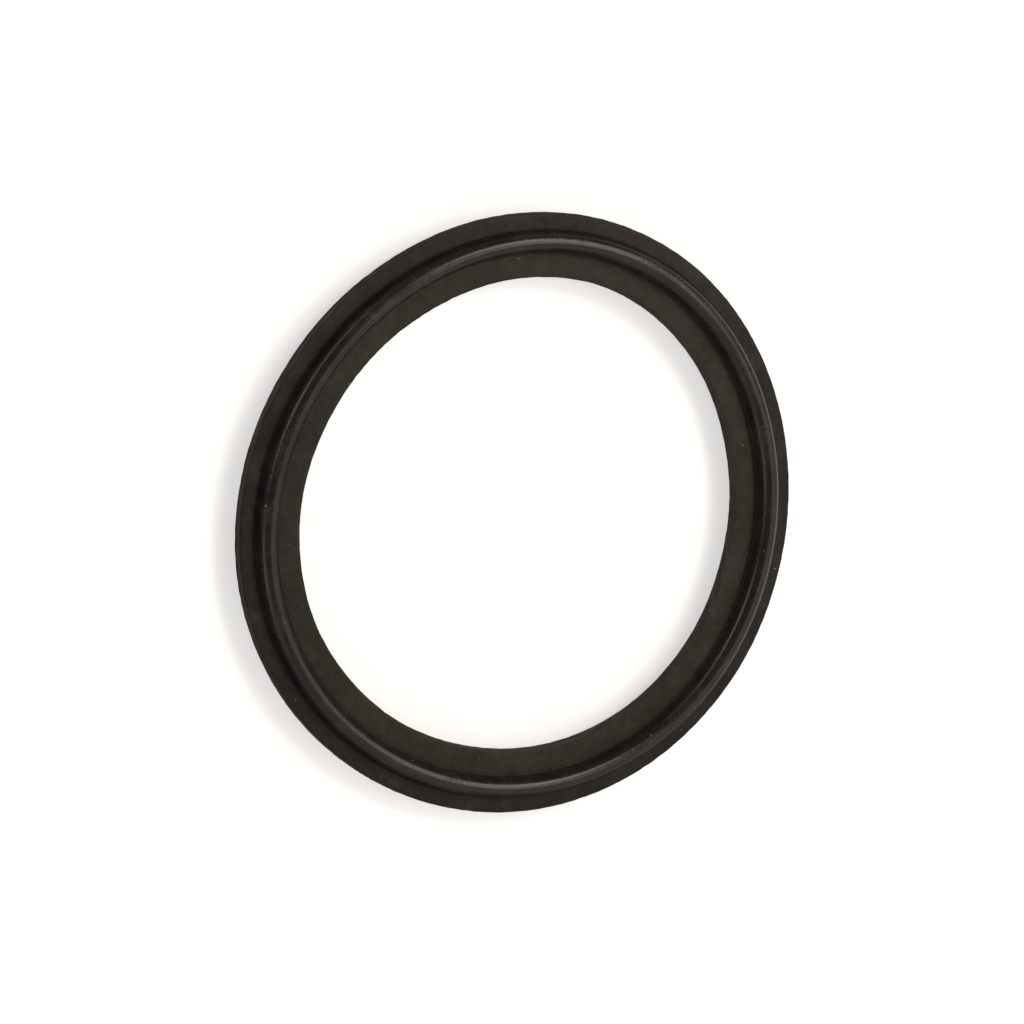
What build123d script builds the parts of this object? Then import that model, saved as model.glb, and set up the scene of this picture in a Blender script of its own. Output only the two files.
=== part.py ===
from build123d import *
import math
import os

# Sanitary clamp gasket: one moulded rubber ring.
# A flat web with a rounded bead standing on each face. The beads seat in the
# grooves of two facing ferrules and the web seals between their flanges.
# Millimetres. The ring lies flat: +Z is its axis, and Z = 0 is the plane that
# the crest of the lower bead rests on.

# Web
OUTER_DIAMETER = 77.4       # rim, level with the ferrule flange
BORE_DIAMETER = 61.0        # clear way through the ring
WEB_THICKNESS = 1.7         # between the two sealing faces
RIM_EDGE_RADIUS = 0.2       # rounding of the outer edges
BORE_EDGE_RADIUS = 0.12     # rounding of the bore's edges

# Bead, the same on both faces
BEAD_PITCH_DIAMETER = 70.2  # circle that the crest runs on
BEAD_HEIGHT = 2.0           # crest above the sealing face
BEAD_CREST_RADIUS = 1.27    # full round crest
BEAD_DRAFT_DEG = 6.0        # lean of each flank

# Hollow round the foot of the bead, left by the edge of the mould's ring groove
FOOT_RADIUS = 0.16          # fillet between flank and sealing face
FOOT_DIP = 0.03             # how far the fillet runs below the face

# Parting line of the mould round the rim, at half the web's thickness
PARTING_RIDGE_WIDTH = 0.24
PARTING_RIDGE_STAND = 0.05  # how far it stands out of the rim


def mid_height():
    """Height of the web's middle plane, with the ring lying on its lower bead."""
    return WEB_THICKNESS / 2 + BEAD_HEIGHT


def rim_wall_radius():
    """Radius of the rim's wall, inside the parting ridge's crown."""
    return OUTER_DIAMETER / 2 - PARTING_RIDGE_STAND


def bead_half_profile():
    """Points of one side of the bead, as (distance from the crest circle, height
    above the face): crest top, crest arc middle, crest end, flank end, foot arc
    middle and foot end."""
    draft = math.radians(BEAD_DRAFT_DEG)
    crest_centre = BEAD_HEIGHT - BEAD_CREST_RADIUS
    foot_centre = FOOT_RADIUS - FOOT_DIP

    crest_end_angle = draft
    crest_mid_angle = (math.pi / 2 + crest_end_angle) / 2
    top = (0.0, BEAD_HEIGHT)
    crest_mid = (
        BEAD_CREST_RADIUS * math.cos(crest_mid_angle),
        crest_centre + BEAD_CREST_RADIUS * math.sin(crest_mid_angle),
    )
    crest_end = (
        BEAD_CREST_RADIUS * math.cos(crest_end_angle),
        crest_centre + BEAD_CREST_RADIUS * math.sin(crest_end_angle),
    )

    reach = BEAD_CREST_RADIUS + FOOT_RADIUS + (crest_centre - foot_centre) * math.sin(draft)
    foot_x = reach / math.cos(draft)
    flank_end = (
        foot_x - FOOT_RADIUS * math.cos(draft),
        foot_centre - FOOT_RADIUS * math.sin(draft),
    )
    foot_low = (foot_x, -FOOT_DIP)
    foot_end = (foot_x + math.sqrt(FOOT_RADIUS**2 - foot_centre**2), 0.0)
    return top, crest_mid, crest_end, flank_end, foot_low, foot_end


def face_profile(side):
    """Edges of one sealing face with its bead, from the bore's edge to the rim's.
    side is 1 for the upper face and -1 for the lower."""
    middle = mid_height()
    face = WEB_THICKNESS / 2
    pitch = BEAD_PITCH_DIAMETER / 2

    def at(distance, height):
        return (pitch + distance, middle + side * (face + height))

    top, crest_mid, crest_end, flank_end, foot_low, foot_end = bead_half_profile()

    def inward(point):
        return at(-point[0], point[1])

    def outward(point):
        return at(point[0], point[1])

    face_start = (BORE_DIAMETER / 2 + BORE_EDGE_RADIUS, middle + side * face)
    face_stop = (rim_wall_radius() - RIM_EDGE_RADIUS, middle + side * face)
    return [
        Line(face_start, inward(foot_end)),
        ThreePointArc(inward(foot_end), inward(foot_low), inward(flank_end)),
        Line(inward(flank_end), inward(crest_end)),
        ThreePointArc(inward(crest_end), inward(crest_mid), inward(top)),
        ThreePointArc(outward(top), outward(crest_mid), outward(crest_end)),
        Line(outward(crest_end), outward(flank_end)),
        ThreePointArc(outward(flank_end), outward(foot_low), outward(foot_end)),
        Line(outward(foot_end), face_stop),
    ]


def rounded_corner(wall_radius, edge_radius, toward_face, side):
    """Quarter round between a cylindrical wall and a sealing face. toward_face is
    1 where the face lies outside the wall's radius and -1 where it lies inside."""
    middle = mid_height()
    face = WEB_THICKNESS / 2
    diagonal = edge_radius * (1 - math.sqrt(0.5))
    on_wall = (wall_radius, middle + side * (face - edge_radius))
    between = (wall_radius + toward_face * diagonal, middle + side * (face - diagonal))
    on_face = (wall_radius + toward_face * edge_radius, middle + side * face)
    return ThreePointArc(on_wall, between, on_face)


def bore_wall_profile():
    middle = mid_height()
    reach = WEB_THICKNESS / 2 - BORE_EDGE_RADIUS
    radius = BORE_DIAMETER / 2
    return [
        Line((radius, middle - reach), (radius, middle + reach)),
        rounded_corner(radius, BORE_EDGE_RADIUS, 1, 1),
        rounded_corner(radius, BORE_EDGE_RADIUS, 1, -1),
    ]


def rim_wall_profile():
    """Rim wall with the parting ridge as a low arc across its middle."""
    middle = mid_height()
    reach = WEB_THICKNESS / 2 - RIM_EDGE_RADIUS
    radius = rim_wall_radius()
    half_ridge = PARTING_RIDGE_WIDTH / 2
    ridge_foot = (radius, middle - half_ridge)
    ridge_crown = (OUTER_DIAMETER / 2, middle)
    ridge_head = (radius, middle + half_ridge)
    return [
        Line((radius, middle - reach), ridge_foot),
        ThreePointArc(ridge_foot, ridge_crown, ridge_head),
        Line(ridge_head, (radius, middle + reach)),
        rounded_corner(radius, RIM_EDGE_RADIUS, -1, 1),
        rounded_corner(radius, RIM_EDGE_RADIUS, -1, -1),
    ]


def gasket_ring():
    """The section turned once about the axis, as one solid."""
    edges = face_profile(1) + face_profile(-1) + bore_wall_profile() + rim_wall_profile()
    wire = Wire(edges)
    section = Plane.XZ * Face(wire)
    ring = revolve(section, Axis.Z, 360)
    ring.label = "gasket_ring"
    return ring


os.makedirs("parts", exist_ok=True)
export_step(gasket_ring(), "parts/gasket_ring.step")
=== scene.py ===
import math

import bpy
import numpy as np
from mathutils import Matrix, Vector

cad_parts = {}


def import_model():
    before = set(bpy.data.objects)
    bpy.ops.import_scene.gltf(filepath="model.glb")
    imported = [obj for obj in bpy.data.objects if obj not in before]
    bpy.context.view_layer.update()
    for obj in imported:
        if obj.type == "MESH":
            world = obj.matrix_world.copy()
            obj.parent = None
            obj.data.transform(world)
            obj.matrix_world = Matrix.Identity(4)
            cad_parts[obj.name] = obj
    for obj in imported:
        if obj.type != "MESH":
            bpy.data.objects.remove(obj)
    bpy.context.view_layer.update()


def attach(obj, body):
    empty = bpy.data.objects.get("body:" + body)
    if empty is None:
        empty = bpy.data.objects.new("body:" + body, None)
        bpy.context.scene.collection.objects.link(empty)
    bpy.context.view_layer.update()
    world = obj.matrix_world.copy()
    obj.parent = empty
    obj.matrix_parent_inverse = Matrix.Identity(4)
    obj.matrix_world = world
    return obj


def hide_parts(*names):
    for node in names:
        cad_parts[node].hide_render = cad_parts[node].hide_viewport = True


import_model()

MM = 0.001
SEED = 11

# The ring's section, in millimetres, the same as the part's
RIM_RADIUS = 38.65
BORE_RADIUS = 30.5
WEB = 1.7
RIM_EDGE = 0.2
BORE_EDGE = 0.12
PITCH_RADIUS = 35.1
BEAD_HEIGHT = 2.0
CREST_RADIUS = 1.27
DRAFT = math.radians(6.0)
FOOT_RADIUS = 0.16
FOOT_DIP = 0.03
RIDGE_STAND = 0.05
RIDGE_HALF = 0.12
MID_HEIGHT = WEB / 2 + BEAD_HEIGHT

# Where the finishes change, as distances from the bead's middle
BEAD_REACH = 1.36           # outside, at the bottom of the flank
INNER_REACH = 1.26          # inside, where the matte finish starts at the top of the flank

# What belongs to this loose ring and not to the part, in millimetres
RIM_TAPER = 0.10            # how much lower each face is at the rim
TAPER_START = 36.6
LOBE = 0.29                 # how far the ring is out of round
LOBES = 3
LOBE_TURN = math.radians(184)
FINE_TRIM = 0.012           # unevenness of the trimmed edges, in short waves
RIM_TRIM = 0.018            # and in long ones
BORE_TRIM = 0.022
TRIM_LOSS = 0.03            # how much the trimming takes off each edge
RIM_ZONE = (37.4, 38.6)     # where the rim's trimming fades in
BORE_ZONE = (30.8, 32.2)    # and the bore's
FLASH = 0.03                # how much the parting ridge comes and goes
WAVE = 0.015                # how far the web lies off flat

STEPS_ROUND = 720
LONGEST_UPPER = 0.55        # longest step across the upper face, and the lower
LONGEST_LOWER = 0.9
rng = np.random.default_rng(SEED)


# ---------------------------------------------------------------- the ring's mesh

def arc(centre, radius, start_deg, stop_deg, count):
    angles = np.radians(np.linspace(start_deg, stop_deg, count))
    return [(centre[0] + radius * math.cos(t), centre[1] + radius * math.sin(t)) for t in angles]


def line(start, stop, count):
    share = np.linspace(0, 1, count)
    return [(start[0] + (stop[0] - start[0]) * k, start[1] + (stop[1] - start[1]) * k) for k in share]


def half_section(fine):
    """Points of the upper half, from the bore's middle height to the rim's."""
    face = WEB / 2
    crest_centre = face + BEAD_HEIGHT - CREST_RADIUS
    foot_centre = FOOT_RADIUS - FOOT_DIP
    rise = (BEAD_HEIGHT - CREST_RADIUS - foot_centre) * math.sin(DRAFT)
    foot_x = (CREST_RADIUS + FOOT_RADIUS + rise) / math.cos(DRAFT)
    lip_deg = math.degrees(math.asin(foot_centre / FOOT_RADIUS))
    draft_deg = math.degrees(DRAFT)

    def n(count):
        return max(3, int(count * fine))

    left = (PITCH_RADIUS - foot_x, face + foot_centre)
    right = (PITCH_RADIUS + foot_x, face + foot_centre)
    lip = foot_x + math.sqrt(FOOT_RADIUS ** 2 - foot_centre ** 2)
    near, nearer = lip + 0.12, lip + 0.02       # these keep the faces flat right up to the foot
    pieces = [
        line((BORE_RADIUS, 0), (BORE_RADIUS, face - BORE_EDGE), n(4)),
        arc((BORE_RADIUS + BORE_EDGE, face - BORE_EDGE), BORE_EDGE, 180, 90, n(5)),
        line((PITCH_RADIUS - near, face), (PITCH_RADIUS - nearer, face), 2),
        arc(left, FOOT_RADIUS, 180 + lip_deg, 360 - draft_deg, n(9)),
        arc((PITCH_RADIUS, crest_centre), CREST_RADIUS, 180 - draft_deg, draft_deg, n(33)),
        arc(right, FOOT_RADIUS, 180 + draft_deg, 360 - lip_deg, n(9)),
        line((PITCH_RADIUS + nearer, face), (PITCH_RADIUS + near, face), 2),
        arc((RIM_RADIUS - RIM_EDGE, face - RIM_EDGE), RIM_EDGE, 90, 0, n(6)),
        line((RIM_RADIUS, face - RIM_EDGE), (RIM_RADIUS, RIDGE_HALF), n(3)),
        line((RIM_RADIUS + RIDGE_STAND * 0.75, RIDGE_HALF / 2), (RIM_RADIUS + RIDGE_STAND, 0), 2),
    ]
    points = [p for piece in pieces for p in piece]
    clean = [points[0]]
    for p in points[1:]:
        if math.dist(p, clean[-1]) > 1e-6:
            clean.append(p)
    return clean


def split_long(points, longest):
    """Adds points on the long straight runs, so that they can carry gentle relief."""
    out = [points[0]]
    for p in points[1:]:
        q = out[-1]
        parts = max(1, math.ceil(math.dist(p, q) / longest))
        out += [(q[0] + (p[0] - q[0]) * k / parts, q[1] + (p[1] - q[1]) * k / parts)
                for k in range(1, parts + 1)]
    return out


def wander(angles, harmonics, size):
    """A smooth random curve round the ring, with an rms of about size."""
    total = np.zeros_like(angles)
    for h in harmonics:
        total += rng.normal() * np.cos(h * angles + rng.uniform(0, 2 * math.pi))
    return total * size / math.sqrt(len(harmonics) / 2)


def trimming(angles, coarse):
    """How unevenly an edge is trimmed: short waves, and long ones of the given size."""
    fine = wander(angles, range(14, 150, 3), FINE_TRIM)[:, None]
    return fine + wander(angles, range(4, 14), coarse)[:, None]


def loosen(r0, z0, angles):
    """Turns the part's true section into this loose ring's radius and height, all round."""
    a = angles[:, None]
    lobe = LOBE * np.cos(LOBES * a + LOBE_TURN) - r0 * LOBE / RIM_RADIUS
    rim = trimming(angles, RIM_TRIM)
    bore = trimming(angles, BORE_TRIM)
    to_rim = np.clip((r0 - RIM_ZONE[0]) / (RIM_ZONE[1] - RIM_ZONE[0]), 0, 1) ** 2
    to_bore = np.clip((BORE_ZONE[1] - r0) / (BORE_ZONE[1] - BORE_ZONE[0]), 0, 1) ** 2
    flash = np.abs(wander(angles, range(20, 240, 7), FLASH))[:, None] * (r0 > RIM_RADIUS + 0.01)
    r = r0 + lobe + (rim - TRIM_LOSS) * to_rim + (bore + TRIM_LOSS) * to_bore - flash
    # outside the bead the web thins a little towards the rim
    taper = np.clip((r0 - TAPER_START) / (RIM_RADIUS - TAPER_START), 0, 1) * RIM_TAPER * np.sign(z0)
    # the web lies very slightly wavy, and less so near the bead
    wave = wander(angles, range(2, 7), WAVE)[:, None] * np.clip(np.abs(r0 - PITCH_RADIUS) / 3, 0, 1)
    return r, z0 - taper + wave


def ring_mesh():
    upper = split_long(half_section(1.0), LONGEST_UPPER)
    lower = [(r, -z) for r, z in split_long(half_section(0.5), LONGEST_LOWER)][::-1]
    section = np.array(upper + lower[1:-1])
    angles = np.linspace(0, 2 * math.pi, STEPS_ROUND, endpoint=False)
    a = angles[:, None]
    r, z = loosen(section[:, 0][None, :], section[:, 1][None, :], angles)

    x = r * np.cos(a) * MM
    y = r * np.sin(a) * MM
    verts = np.stack([x, y, (z + MID_HEIGHT) * MM * np.ones_like(x)], -1).reshape(-1, 3)
    count = section.shape[0]
    i = np.arange(STEPS_ROUND)[:, None]
    j = np.arange(count)[None, :]
    next_i = (i + 1) % STEPS_ROUND
    next_j = (j + 1) % count
    corners = [i * count + j, i * count + next_j, next_i * count + next_j, next_i * count + j]
    faces = np.stack(corners, -1).reshape(-1, 4)
    mesh = bpy.data.meshes.new("rubber_ring")
    mesh.from_pydata(verts.tolist(), [], faces.tolist())
    mesh.update()
    mesh.shade_smooth()
    across = mesh.attributes.new("across", "FLOAT", "POINT")
    across.data.foreach_set("value", np.tile(section[:, 0], STEPS_ROUND))
    # the bead, the face inside it and the face outside it are finished differently
    middle = (section[:, 0] + np.roll(section[:, 0], -1)) / 2 - PITCH_RADIUS
    finish = np.where(middle < -INNER_REACH, 1, np.where(middle > BEAD_REACH, 2, 0))
    mesh.polygons.foreach_set("material_index", np.tile(finish, STEPS_ROUND).astype(np.int32))
    ring = bpy.data.objects.new("rubber_ring", mesh)
    bpy.context.collection.objects.link(ring)
    return ring


# ---------------------------------------------------------------- materials

# The flat faces carry a faint olive bloom, plummer towards the rim, and the bead is blacker
OLIVE = (0.0262, 0.0238, 0.0180, 1)
PLUM = (0.0212, 0.0184, 0.0162, 1)
BLACK = (0.0140, 0.0124, 0.0112, 1)
FILM = (0.036, 0.032, 0.026, 1)
# dark colour: real dirt in streaks on the faces, and painted shade in the feet of the bead
DIRT_AND_CREASE_SHADE = (0.007, 0.006, 0.005, 1)
SCUFFED = (0.10, 0.092, 0.082, 1)
DUST = (0.42, 0.39, 0.34, 1)
CUT_DARK = (0.036, 0.032, 0.030, 1)
CUT_PALE = (0.098, 0.087, 0.083, 1)

# Each finish with its specular level
FINISHES = (("rubber_bead", 0.46), ("rubber_inner_face", 0.21), ("rubber_outer_face", 0.18))
RUBBER_IOR = 1.5


class Graph:
    """Short names for building a shader graph."""

    def __init__(self, name):
        self.material = bpy.data.materials.new(name)
        self.material.use_nodes = True
        self.nodes = self.material.node_tree.nodes
        self.links = self.material.node_tree.links
        self.shader = self.nodes["Principled BSDF"]

    def link(self, source, target):
        self.links.new(source, target)

    def put(self, socket, value):
        if isinstance(value, bpy.types.NodeSocket):
            self.link(value, socket)
        else:
            socket.default_value = value

    def math(self, kind, a, b=0.0, clamp=False):
        n = self.nodes.new("ShaderNodeMath")
        n.operation = kind
        n.use_clamp = clamp
        for socket, value in zip(n.inputs, (a, b)):
            self.put(socket, value)
        return n.outputs[0]

    def add(self, a, b, clamp=False):
        return self.math("ADD", a, b, clamp)

    def times(self, a, b, clamp=False):
        return self.math("MULTIPLY", a, b, clamp)

    def less(self, a, b):
        return self.math("SUBTRACT", a, b)

    def band(self, value, low, high, out_low=0.0, out_high=1.0):
        """A smooth step from out_low to out_high as the value goes from low to high."""
        n = self.nodes.new("ShaderNodeMapRange")
        n.interpolation_type = "SMOOTHSTEP"
        n.clamp = True
        for socket, v in zip(n.inputs, (value, low, high, out_low, out_high)):
            self.put(socket, v)
        return n.outputs[0]

    def noise(self, vector, scale, detail=2.0, rough=0.5, distortion=0.0):
        n = self.nodes.new("ShaderNodeTexNoise")
        self.put(n.inputs["Vector"], vector)
        self.put(n.inputs["Scale"], scale)
        self.put(n.inputs["Detail"], detail)
        self.put(n.inputs["Roughness"], rough)
        self.put(n.inputs["Distortion"], distortion)
        return n.outputs["Fac"]

    def cells(self, vector, scale):
        n = self.nodes.new("ShaderNodeTexVoronoi")
        self.put(n.inputs["Vector"], vector)
        self.put(n.inputs["Scale"], scale)
        return n

    def mix(self, factor, a, b):
        n = self.nodes.new("ShaderNodeMix")
        n.data_type = "RGBA"
        self.put(n.inputs[0], factor)
        self.put(n.inputs[6], a)
        self.put(n.inputs[7], b)
        return n.outputs[2]

    def bump(self, height, strength, distance, normal=None):
        n = self.nodes.new("ShaderNodeBump")
        n.inputs["Strength"].default_value = strength
        n.inputs["Distance"].default_value = distance
        self.link(height, n.inputs["Height"])
        if normal:
            self.link(normal, n.inputs["Normal"])
        return n.outputs[0]

    def scaled(self, vector, factor):
        n = self.nodes.new("ShaderNodeVectorMath")
        n.operation = "SCALE"
        self.link(vector, n.inputs[0])
        self.put(n.inputs["Scale"], factor)
        return n.outputs[0]

    def combined(self, x, y, z):
        n = self.nodes.new("ShaderNodeCombineXYZ")
        for socket, value in zip(n.inputs, (x, y, z)):
            self.link(value, socket)
        return n.outputs[0]


def polar(g):
    """Position in millimetres, radius, a point that runs slowly round the ring and
    quickly across it, and one that runs quickly round it and slowly across."""
    tex = g.nodes.new("ShaderNodeTexCoord")
    place = g.scaled(tex.outputs["Object"], 1000.0)
    split = g.nodes.new("ShaderNodeSeparateXYZ")
    g.link(place, split.inputs[0])
    x, y, z = split.outputs
    radius = g.math("SQRT", g.add(g.times(x, x), g.times(y, y)))
    cos = g.math("DIVIDE", x, radius)
    sin = g.math("DIVIDE", y, radius)
    along = g.combined(g.add(g.times(cos, 4.0), radius), g.times(sin, 4.0), z)
    spoke = g.combined(g.times(cos, 35.0), g.times(sin, 35.0), g.times(radius, 0.22))
    return place, radius, along, spoke


def rubber(name, specular):
    g = Graph(name)
    place, radius, along, spoke = polar(g)

    # where on the section a point is: on the flat faces, in a foot of the bead, or on a cut wall
    attribute = g.nodes.new("ShaderNodeAttribute")
    attribute.attribute_name = "across"
    nominal = attribute.outputs["Fac"]
    off_bead = g.math("ABSOLUTE", g.less(nominal, PITCH_RADIUS))
    # partly painted light: the faces' paler olive reaches into the feet and, inside, up the lower
    # flank of the bead; partly the faces' matte finish, partly a lighter colour standing in for light
    # falling on the flank
    inner_flank = g.band(nominal, PITCH_RADIUS - 1.20, PITCH_RADIUS - 1.30)
    flat = g.math("MAXIMUM", g.band(off_bead, 1.36, 1.50), inner_flank)
    outside = g.math("GREATER_THAN", nominal, PITCH_RADIUS)
    # the feet of the bead, where shade is painted into the colour, lightly inside and fully outside
    foot = g.times(g.band(off_bead, 1.30, 1.40), g.band(off_bead, 1.46, 1.56, 1.0, 0.0))
    foot = g.times(foot, g.add(0.2, g.times(outside, 0.8)))
    rim_wall = g.band(nominal, RIM_RADIUS - 0.12, RIM_RADIUS - 0.02)
    bore_wall = g.band(nominal, BORE_RADIUS + 0.08, BORE_RADIUS + 0.02)
    wall = g.math("MAXIMUM", rim_wall, bore_wall)

    blotch = g.noise(place, 0.22, 3.0, 0.55, 0.4)
    mottle = g.noise(place, 0.8, 4.0, 0.6)
    grain = g.noise(place, 6.0, 3.0, 0.65)
    flow = g.noise(along, 1.3, 3.0, 0.6)
    rub = g.noise(spoke, 0.45, 4.0, 0.65, 0.3)
    cut = g.noise(along, 2.6, 4.0, 0.7)

    tone = g.band(g.add(radius, g.times(mottle, 3.0)), 34.5, 38.0)
    colour = g.mix(flat, BLACK, g.mix(tone, OLIVE, PLUM))
    film = g.times(g.band(blotch, 0.48, 0.70), g.band(mottle, 0.35, 0.65), clamp=True)
    colour = g.mix(g.times(film, 0.45), colour, FILM)
    colour = g.mix(g.times(g.band(flow, 0.55, 0.75), 0.35), colour, DIRT_AND_CREASE_SHADE)
    # painted shade: the feet of the bead are darkened with the dark colour, standing in for the shade
    # in these creases, most at the outer foot
    colour = g.mix(g.times(foot, 0.7), colour, DIRT_AND_CREASE_SHADE)
    uneven = g.times(g.band(mottle, 0.25, 0.75, 0.8, 1.25), g.band(blotch, 0.3, 0.7, 0.84, 1.18))
    uneven = g.times(uneven, g.band(rub, 0.3, 0.7, 0.92, 1.10))
    colour = g.scaled(colour, uneven)

    # scuffs: thin, broken, pale streaks, in patches
    streak = g.noise(place, 1.1, 5.0, 0.7, 2.2)
    thin = g.math("ABSOLUTE", g.less(streak, 0.5))
    patch = g.band(g.noise(place, 0.11, 1.0), 0.52, 0.66)
    scuff = g.times(g.less(1.0, g.band(thin, 0.0, 0.012)), patch, clamp=True)
    colour = g.mix(g.times(scuff, 0.22), colour, SCUFFED)

    # dust: small pale specks, few and far between
    dots = g.cells(place, 0.62)
    chance = g.nodes.new("ShaderNodeSeparateColor")
    g.link(dots.outputs["Color"], chance.inputs[0])
    reach = g.band(chance.outputs[0], 0.42, 1.0, 0.0, 0.08)
    speck = g.math("LESS_THAN", dots.outputs["Distance"], reach)
    speck = g.times(speck, g.band(chance.outputs[1], 0.3, 1.0, 0.1, 0.9))
    colour = g.mix(speck, colour, DUST)

    # the rim and the bore were cut, and show paler streaks along the cut
    wall_tone = g.mix(g.band(cut, 0.35, 0.68), CUT_DARK, CUT_PALE)
    colour = g.mix(g.times(wall, 0.8), colour, wall_tone)

    # the bead came off polished steel, and the faces off duller steel
    rough = g.add(0.19, g.times(flat, 0.07))
    rough = g.add(rough, g.times(g.band(blotch, 0.3, 0.7, 0.05, -0.05), flat))
    for cause, amount in ((wall, 0.20), (foot, 0.25), (mottle, 0.12), (film, 0.10), (speck, 0.3)):
        rough = g.add(rough, g.times(cause, amount))
    rough = g.add(rough, g.times(scuff, 0.15), clamp=True)

    # relief: height, strength, and depth in metres
    normal = None
    for height, strength, depth in (
        (blotch, 0.5, 0.00006),
        (rub, 0.22, 0.00008),
        (mottle, 0.18, 0.00006),
        (g.times(grain, g.add(0.2, g.times(flat, 0.7))), 0.8, 0.00006),
        (scuff, 0.6, 0.00003),
    ):
        normal = g.bump(height, strength, depth, normal)

    g.link(colour, g.shader.inputs["Base Color"])
    g.link(rough, g.shader.inputs["Roughness"])
    g.link(normal, g.shader.inputs["Normal"])
    g.shader.inputs["IOR"].default_value = RUBBER_IOR
    g.shader.inputs["Specular IOR Level"].default_value = specular
    return g.material


# The floor, in metres
WEB_MIDDLE = 0.0345         # radius of the middle of the ring's web
FAR_EDGE = (0.034, 0.042)   # where the far side ends and the pale floor beyond it starts
SHADOW_EDGE = (0.10, 0.60)  # how far out the ring's shadow fades
SHADOW_WHITE = 0.55         # how white the floor is of itself near the ring


def paper():
    g = Graph("floor_white")
    tex = g.nodes.new("ShaderNodeTexCoord")
    place = tex.outputs["Object"]
    grain = g.noise(place, 900.0, 3.0, 0.6)
    tint = g.mix(g.band(grain, 0.3, 0.7), (0.86, 0.86, 0.86, 1), (0.89, 0.89, 0.89, 1))
    g.shader.inputs["Roughness"].default_value = 0.9
    g.shader.inputs["Specular IOR Level"].default_value = 0.1
    path = g.nodes.new("ShaderNodeLightPath")
    glossy = path.outputs["Is Glossy Ray"]

    # painted reflection: for glossy rays only, the floor beyond the ring's far side glows pale and
    # the floor elsewhere is darkened, less so near the ring, so that the rubber mirrors a bright far
    # floor and a dim one elsewhere
    split = g.nodes.new("ShaderNodeSeparateXYZ")
    g.link(place, split.inputs[0])
    beyond = g.less(g.times(split.outputs[1], 0.87), g.times(split.outputs[0], 0.5))
    far = g.band(beyond, *FAR_EDGE)
    away = g.nodes.new("ShaderNodeVectorMath")
    away.operation = "LENGTH"
    g.link(place, away.inputs[0])
    distance = away.outputs["Value"]
    off_ring = g.band(g.math("ABSOLUTE", g.less(distance, WEB_MIDDLE)), 0.006, 0.010, 0.45, 0.85)
    dim = g.times(g.times(glossy, off_ring), g.less(1.0, far))
    g.link(g.mix(dim, tint, (0, 0, 0, 1)), g.shader.inputs["Base Color"])
    lit = g.times(g.times(glossy, far), 0.4)

    # the floor stays white to the eye, fully so away from the ring, where no shadow falls
    white = g.band(distance, *SHADOW_EDGE, SHADOW_WHITE, 1.0)
    seen = g.add(g.times(path.outputs["Is Camera Ray"], white), lit)
    g.shader.inputs["Emission Color"].default_value = (1, 1, 1, 1)
    g.link(seen, g.shader.inputs["Emission Strength"])
    return g.material


# ---------------------------------------------------------------- the object

ring = ring_mesh()
for name, specular in FINISHES:
    ring.data.materials.append(rubber(name, specular))
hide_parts("gasket_ring")
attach(ring, "root")


# ---------------------------------------------------------------- floor, light, camera

CENTRE = Vector((0, 0, MID_HEIGHT * MM))
FLOOR_HALF = 2.0
WORLD_TINT = (1.0, 0.97, 0.93, 1)
WORLD_STRENGTH = 0.12
LAMP_TINT = (1, 0.925, 0.81)

# name, azimuth from +X towards +Y, elevation, distance, width, height, watts, lean from level
SOFTBOXES = (
    ("key_low", 149, 47, 1.0, 0.62, 0.33, 1.95, 39),
    ("key_high", 174, 53, 1.0, 0.46, 0.30, 1.6, 10),
    ("key_far", 122, 60, 1.0, 0.34, 0.24, 0.95, 0),
    ("far_fill", 82, 43, 1.2, 1.5, 1.6, 4.35, 0),
    ("far_low", 90, 12, 1.2, 1.1, 0.5, 0.2, 0),
    ("left_fill", 0, 28, 1.2, 2.0, 1.2, 2.9, 0),
    ("near_strip", 270, 15, 1.0, 0.5, 0.28, 1.15, 0),
    ("near_left", 243, 16, 1.0, 0.45, 0.26, 0.5, 0),
    ("near_right", 316, 17, 1.0, 0.5, 0.28, 0.7, 0),
)

# The photograph's view
TILT = math.radians(28.1)
ROLL = math.radians(113.2)
CAMERA_DISTANCE = 0.5795
LENS = 162.0
SENSOR = 36.0
SHIFT = (-0.0091, 0.0039)


def floor_plane():
    mesh = bpy.data.meshes.new("floor")
    half = FLOOR_HALF
    corners = [(-half, -half, 0), (half, -half, 0), (half, half, 0), (-half, half, 0)]
    mesh.from_pydata(corners, [], [(0, 1, 2, 3)])
    mesh.materials.append(paper())
    floor = bpy.data.objects.new("floor", mesh)
    bpy.context.collection.objects.link(floor)


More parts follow.
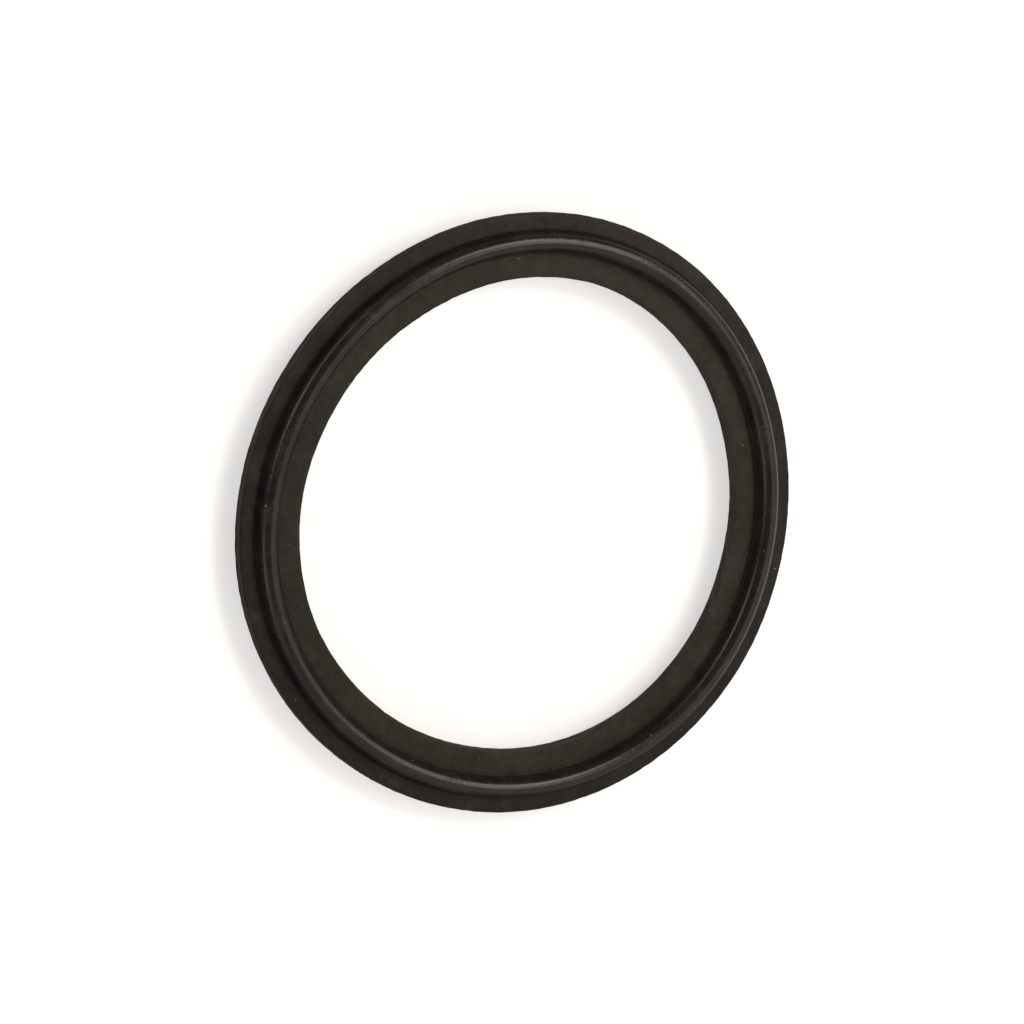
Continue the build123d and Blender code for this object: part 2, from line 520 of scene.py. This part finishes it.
def turned(way, angle):
    """How a lamp or camera that stands out along way is turned to face the ring, and then
    by angle about that line, from level."""
    level = way.to_track_quat("Z", "Y").to_matrix()
    return (level @ Matrix.Rotation(angle, 3, "Z")).to_quaternion()


def softbox(name, azimuth, elevation, distance, width, height, watts, lean):
    """Area light aimed at the ring."""
    a, e = math.radians(azimuth), math.radians(elevation)
    way = Vector((math.cos(a) * math.cos(e), math.sin(a) * math.cos(e), math.sin(e)))
    data = bpy.data.lights.new(name, "AREA")
    data.shape = "RECTANGLE"
    data.size, data.size_y = width, height
    data.energy = watts
    data.color = LAMP_TINT
    lamp = bpy.data.objects.new(name, data)
    lamp.location = CENTRE + way * distance
    lamp.rotation_mode = "QUATERNION"
    lamp.rotation_quaternion = turned(way, math.radians(lean))
    bpy.context.collection.objects.link(lamp)


def world():
    w = bpy.data.worlds.new("studio")
    bpy.context.scene.world = w
    w.use_nodes = True
    nodes, links = w.node_tree.nodes, w.node_tree.links
    back = nodes["Background"]
    back.inputs["Color"].default_value = WORLD_TINT
    back.inputs["Strength"].default_value = WORLD_STRENGTH
    # behind the floor's edge the eye sees white
    white = nodes.new("ShaderNodeBackground")
    path = nodes.new("ShaderNodeLightPath")
    either = nodes.new("ShaderNodeMixShader")
    links.new(path.outputs["Is Camera Ray"], either.inputs[0])
    links.new(back.outputs[0], either.inputs[1])
    links.new(white.outputs[0], either.inputs[2])
    links.new(either.outputs[0], nodes["World Output"].inputs["Surface"])
    white.inputs["Color"].default_value = (1, 1, 1, 1)


def camera():
    back = Vector((0, -math.sin(TILT), math.cos(TILT)))
    data = bpy.data.cameras.new("camera")
    data.lens = LENS
    data.sensor_width = SENSOR
    data.shift_x, data.shift_y = SHIFT
    data.clip_start, data.clip_end = 0.05, 20.0
    cam = bpy.data.objects.new("camera", data)
    cam.location = CENTRE + back * CAMERA_DISTANCE
    cam.rotation_mode = "QUATERNION"
    cam.rotation_quaternion = turned(back, ROLL)
    bpy.context.collection.objects.link(cam)
    bpy.context.scene.camera = cam


floor_plane()
world()
for row in SOFTBOXES:
    softbox(*row)
camera()
bpy.context.scene.view_settings.view_transform = "Standard"
